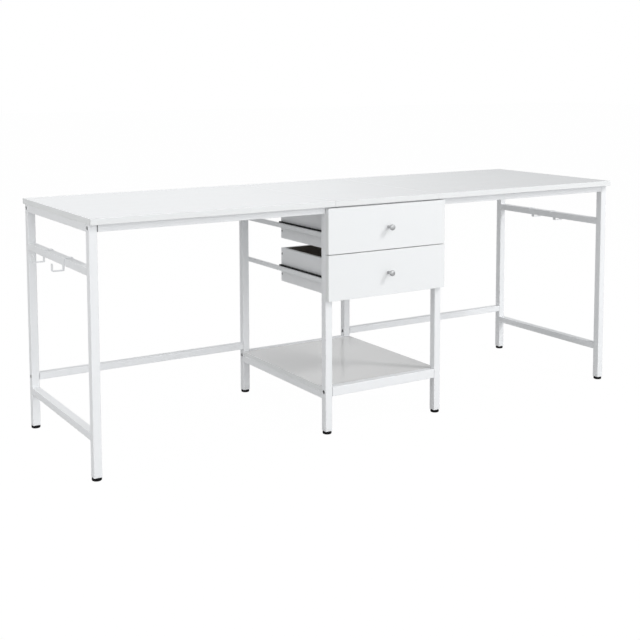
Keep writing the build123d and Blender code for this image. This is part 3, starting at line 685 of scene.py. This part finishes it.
def bent_hook(side, row):
    """A strip bent over the hook rail, down its outer face and out into a cradle."""
    node_name = f"{side}_{row}_hook"
    low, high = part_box(node_name)
    rail_low, rail_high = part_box(f"{side}_end_hook_rail")
    out = -1 if side == "left" else 1
    near, far = (rail_high.x, low.x) if side == "left" else (rail_low.x, high.x)
    outer_face = rail_low.x if side == "left" else rail_high.x
    half = HOOK_SHEET / 2
    offset = HOOK_CLEARANCE + half
    middle_y = (low.y + high.y) / 2
    corners = [
        Vector((near - out * offset, middle_y, rail_high.z - HOOK_LIP)),
        Vector((near - out * offset, middle_y, rail_high.z + offset)),
        Vector((outer_face + out * offset, middle_y, rail_high.z + offset)),
        Vector((outer_face + out * offset, middle_y, low.z + half)),
        Vector((far - out * half, middle_y, low.z + half)),
        Vector((far - out * half, middle_y, low.z + half + HOOK_TIP_RISE)),
    ]
    width = (high.y - low.y) / 2
    first = corners[1] - corners[0]
    foot_end = corners[0] + first.normalized() * (first.length - HOOK_BEND)
    piece = block(
        f"{side}_{row}_bent_hook",
        Vector((corners[0].x - half, middle_y - width, corners[0].z)),
        Vector((corners[0].x + half, middle_y + width, foot_end.z)),
    )
    pick(piece, "FACE", lambda middle, normal: normal.z > ALONG)
    for start, corner, end in zip(corners, corners[1:], corners[2:]):
        heading, turned_heading = (corner - start).normalized(), (end - corner).normalized()
        centre = corner + (turned_heading - heading) * HOOK_BEND
        spin_way = -1 if heading.cross(turned_heading).y > 0 else 1
        bpy.ops.mesh.spin(steps=BEND_STEPS, angle=spin_way * math.pi / 2, center=centre, axis=(0, 1, 0))
        last = end is corners[-1]
        draw_out(turned_heading * ((end - corner).length - HOOK_BEND * (1 if last else 2)))

    def at_end(middle, way):
        gap = min(abs(middle.z - corners[0].z), abs(middle.z - corners[-1].z))
        return abs(way.x) > ALONG and gap < half / 2

    round_edges(piece, at_end, HOOK_TIP_ROUND, segments=5)
    ease_sharp_edges(HOOK_EDGE)
    face_outwards()
    finish_piece(piece, [powder_coat], f"{side}_{row}_hook", [node_name], smooth=35.0)


# --- Welds and the painted shadow in the rail's joint -----------------------------------------------

BEAD_RADIUS = 1.7 * MM
BEAD_LENGTH = 19.0 * MM
BEAD_CUTS = 15
BEAD_SINK = 0.5 * MM
BEAD_SIDES = 12
BEAD_END_SIZE = 0.55
BEAD_VALLEY_SIZE = 0.84


def make_welds():
    """Rippled weld beads in the corners under each side rail, where it meets its legs."""
    places = []
    for side in ("left", "right"):
        for rail in ("end_top_rail", "end_hook_rail", "end_low_rail", "centre_top_rail", "shelf_side_rail"):
            low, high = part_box(f"{side}_{rail}")
            middle_x = (low.x + high.x) / 2
            places.append(Vector((middle_x, low.y + BEAD_SINK, low.z - BEAD_SINK)))
            places.append(Vector((middle_x, high.y - BEAD_SINK, low.z - BEAD_SINK)))
    nothing_selected()
    bpy.ops.mesh.primitive_cylinder_add(
        vertices=BEAD_SIDES, radius=BEAD_RADIUS, depth=BEAD_LENGTH, location=places[0],
        rotation=(0, math.pi / 2, 0))
    bead = settle("weld_beads")
    pick(bead, "EDGE", lambda middle, way: abs(way.x) > ALONG)
    bpy.ops.mesh.subdivide(number_cuts=BEAD_CUTS)
    pitch = BEAD_LENGTH / (BEAD_CUTS + 1)
    start_x = places[0].x - BEAD_LENGTH / 2
    for ring in range(0, BEAD_CUTS + 2, 2):
        at_ring = start_x + ring * pitch
        pick(bead, "EDGE", lambda middle, way: abs(way.x) < ACROSS and abs(middle.x - at_ring) < pitch / 4)
        thin = BEAD_END_SIZE if ring in (0, BEAD_CUTS + 1) else BEAD_VALLEY_SIZE
        centre = Vector((at_ring, places[0].y, places[0].z))
        bpy.ops.transform.resize(value=(1, thin, thin), center_override=centre)
    copies(bead, [place - places[0] for place in places[1:]])
    finish_piece(bead, [powder_coat], "table_frame", smooth=60.0)


CAP_PROUD = 0.35 * MM
CAP_THICKNESS = 1.1 * MM
CAP_OUTSIDE_SHARE = 0.8
CAP_CORNER = 2.2 * MM
CAP_RIM = 1.6 * MM
CAP_DISH = 0.15 * MM


def make_joint_shadow_cap():
    """A thin black cap shape in the joint gap at the front rail's left end, a painted shadow: a dark line
    beside the leg where the joint's shadow falls.
    """
    low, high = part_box("left_front_top_rail")
    start_x = low.x - CAP_THICKNESS * CAP_OUTSIDE_SHARE
    cap_low = Vector((start_x, low.y - CAP_PROUD, low.z - CAP_PROUD))
    cap_high = Vector((start_x + CAP_THICKNESS, high.y + CAP_PROUD, high.z))
    # This black piece stands in for the shadow in the joint gap: painted shadow.
    piece = block("left_front_rail_joint_shadow_cap", cap_low, cap_high)
    round_edges(piece, lambda middle, way: abs(way.x) > ALONG, CAP_CORNER, segments=4)
    pick(piece, "FACE", lambda middle, normal: abs(normal.x) > ALONG)
    bpy.ops.mesh.inset(thickness=CAP_RIM)
    bpy.ops.mesh.inset(thickness=CAP_DISH, depth=-CAP_DISH)
    face_outwards()
    finish_piece(piece, [black_plastic], "table_frame")


make_boards()
make_feet()
make_knobs()
for hook_side in ("left", "right"):
    for hook_row in ("front", "back"):
        bent_hook(hook_side, hook_row)
make_welds()
make_joint_shadow_cap()


# --- Stage, light and camera ------------------------------------------------------------------------

CAMERA_AZIMUTH = math.radians(-31.77)
CAMERA_ELEVATION = math.radians(5.46)
CAMERA_ROLL = math.radians(-0.14)
CAMERA_DISTANCE = 3.7826
CAMERA_TARGET = Vector((-0.0678, 0.0134, 0.7842))
CAMERA_LENS = 62.31
CAMERA_SHIFT_Y = -0.21875
CAMERA_SENSOR = 36.0
CAMERA_REACH = 100.0


def make_camera():
    """The camera, a little below eye height, in front of the table and to its left."""
    data = bpy.data.cameras.new("camera")
    camera = bpy.data.objects.new("camera", data)
    bpy.context.scene.collection.objects.link(camera)
    level = math.cos(CAMERA_ELEVATION)
    sideways, forwards = math.sin(CAMERA_AZIMUTH) * level, math.cos(CAMERA_AZIMUTH) * level
    back = Vector((sideways, -forwards, math.sin(CAMERA_ELEVATION)))
    turn = (-back).to_track_quat("-Z", "Y").to_matrix().to_4x4() @ Matrix.Rotation(CAMERA_ROLL, 4, "Z")
    camera.matrix_world = Matrix.Translation(CAMERA_TARGET + back * CAMERA_DISTANCE) @ turn
    data.sensor_width = CAMERA_SENSOR
    data.lens = CAMERA_LENS
    data.shift_y = CAMERA_SHIFT_Y
    data.clip_end = CAMERA_REACH
    bpy.context.scene.camera = camera


def add_light(name, place, target, size, power):
    """A rectangular soft box that looks at a target; its size is in metres and its power in watts."""
    data = bpy.data.lights.new(name, "AREA")
    data.shape = "RECTANGLE"
    data.size, data.size_y = size
    data.energy = power
    light = bpy.data.objects.new(name, data)
    bpy.context.scene.collection.objects.link(light)
    direction = Vector(target) - Vector(place)
    light.matrix_world = Matrix.Translation(place) @ direction.to_track_quat("-Z", "Y").to_matrix().to_4x4()


# Each soft box's name, place, target, size and power.
SOFT_BOXES = (
    ("high_key_box", (2.7, -3.0, 3.7), (0.1, 0, 0.5), (0.9, 0.9), 80.0),
    ("left_soft_box", (-4.5, -0.6, 2.2), (0, 0, 0.5), (2.0, 2.0), 48.0),
    ("top_soft_box", (-1.0, 0.8, 4.5), (-0.3, 0.2, 0.7), (4.0, 2.5), 62.0),
)
AMBIENT = 0.235
WORLD_TINT = (0.98, 0.99, 1, 1)
# Each glow's direction, sharpness and strength.
GLOWS = (
    ((-0.1, 1.0, 0.12), 6.0, 0.58),
    ((0.35, 1.0, 0.1), 3.0, 0.25),
    ((0.1, -1.0, 0.02), 4.0, 2.55),
    ((0.5, 0.86, 0.09), 60.0, 0.25),
    ((0.8, 0.6, 0.09), 40.0, 0.12),
)


def make_world():
    """White surroundings: pure white to the eye, softer as a light, with glows before and behind."""
    world = bpy.data.worlds.new("studio")
    bpy.context.scene.world = world
    world.use_nodes = True
    tree = world.node_tree
    tree.nodes.clear()
    place = add_node(tree, "ShaderNodeTexCoord").outputs["Generated"]
    strength = AMBIENT
    for direction, sharpness, power in GLOWS:
        links = {0: place, 1: Vector(direction).normalized()}
        facing = add_node(tree, "ShaderNodeVectorMath", links, operation="DOT_PRODUCT").outputs["Value"]
        lobe = maths(tree, "POWER", maths(tree, "MAXIMUM", facing, 0.0), sharpness)
        strength = maths(tree, "MULTIPLY_ADD", lobe, power, strength)
    seen = add_node(tree, "ShaderNodeBackground", {"Color": (1, 1, 1, 1), "Strength": 1.0})
    light = add_node(tree, "ShaderNodeBackground", {"Color": WORLD_TINT, "Strength": strength})
    ray = add_node(tree, "ShaderNodeLightPath").outputs["Is Camera Ray"]
    both = add_node(tree, "ShaderNodeMixShader", {0: ray, 1: light.outputs[0], 2: seen.outputs[0]})
    add_node(tree, "ShaderNodeOutputWorld", {"Surface": both.outputs[0]})


FLOOR_SIZE = 60.0
FLOOR_GREY = 0.4
FLOOR_GLOW = 0.2
FLOOR_SEEN_WHITE = 0.96
FLOOR_SEEN_STRENGTH = 1.02


def make_floor():
    """A wide white studio floor: near white to the eye, greyer as a reflector."""
    nothing_selected()
    bpy.ops.mesh.primitive_plane_add(size=FLOOR_SIZE, location=(0, 0, 0))
    floor = bpy.context.object
    floor.name = "studio_floor"
    material, tree, shader = new_material("white_floor")
    shader.inputs["Base Color"].default_value = grey(FLOOR_GREY)
    shader.inputs["Roughness"].default_value = 0.9
    shader.inputs["Specular IOR Level"].default_value = 0.0
    shader.inputs["Emission Color"].default_value = (1, 1, 1, 1)
    shader.inputs["Emission Strength"].default_value = FLOOR_GLOW
    links = {"Color": (1, 1, 1, 1), "Strength": FLOOR_SEEN_STRENGTH}
    white = add_node(tree, "ShaderNodeEmission", links).outputs[0]
    ray = add_node(tree, "ShaderNodeLightPath").outputs["Is Camera Ray"]
    share = maths(tree, "MULTIPLY", ray, FLOOR_SEEN_WHITE)
    both = add_node(tree, "ShaderNodeMixShader", {0: share, 1: shader.outputs[0], 2: white})
    tree.links.new(both.outputs[0], tree.nodes["Material Output"].inputs["Surface"])
    floor.data.materials.append(material)


make_camera()
make_world()
make_floor()
for soft_box in SOFT_BOXES:
    add_light(*soft_box)
bpy.context.scene.view_settings.view_transform = "Standard"
bpy.context.scene.view_settings.look = "None"
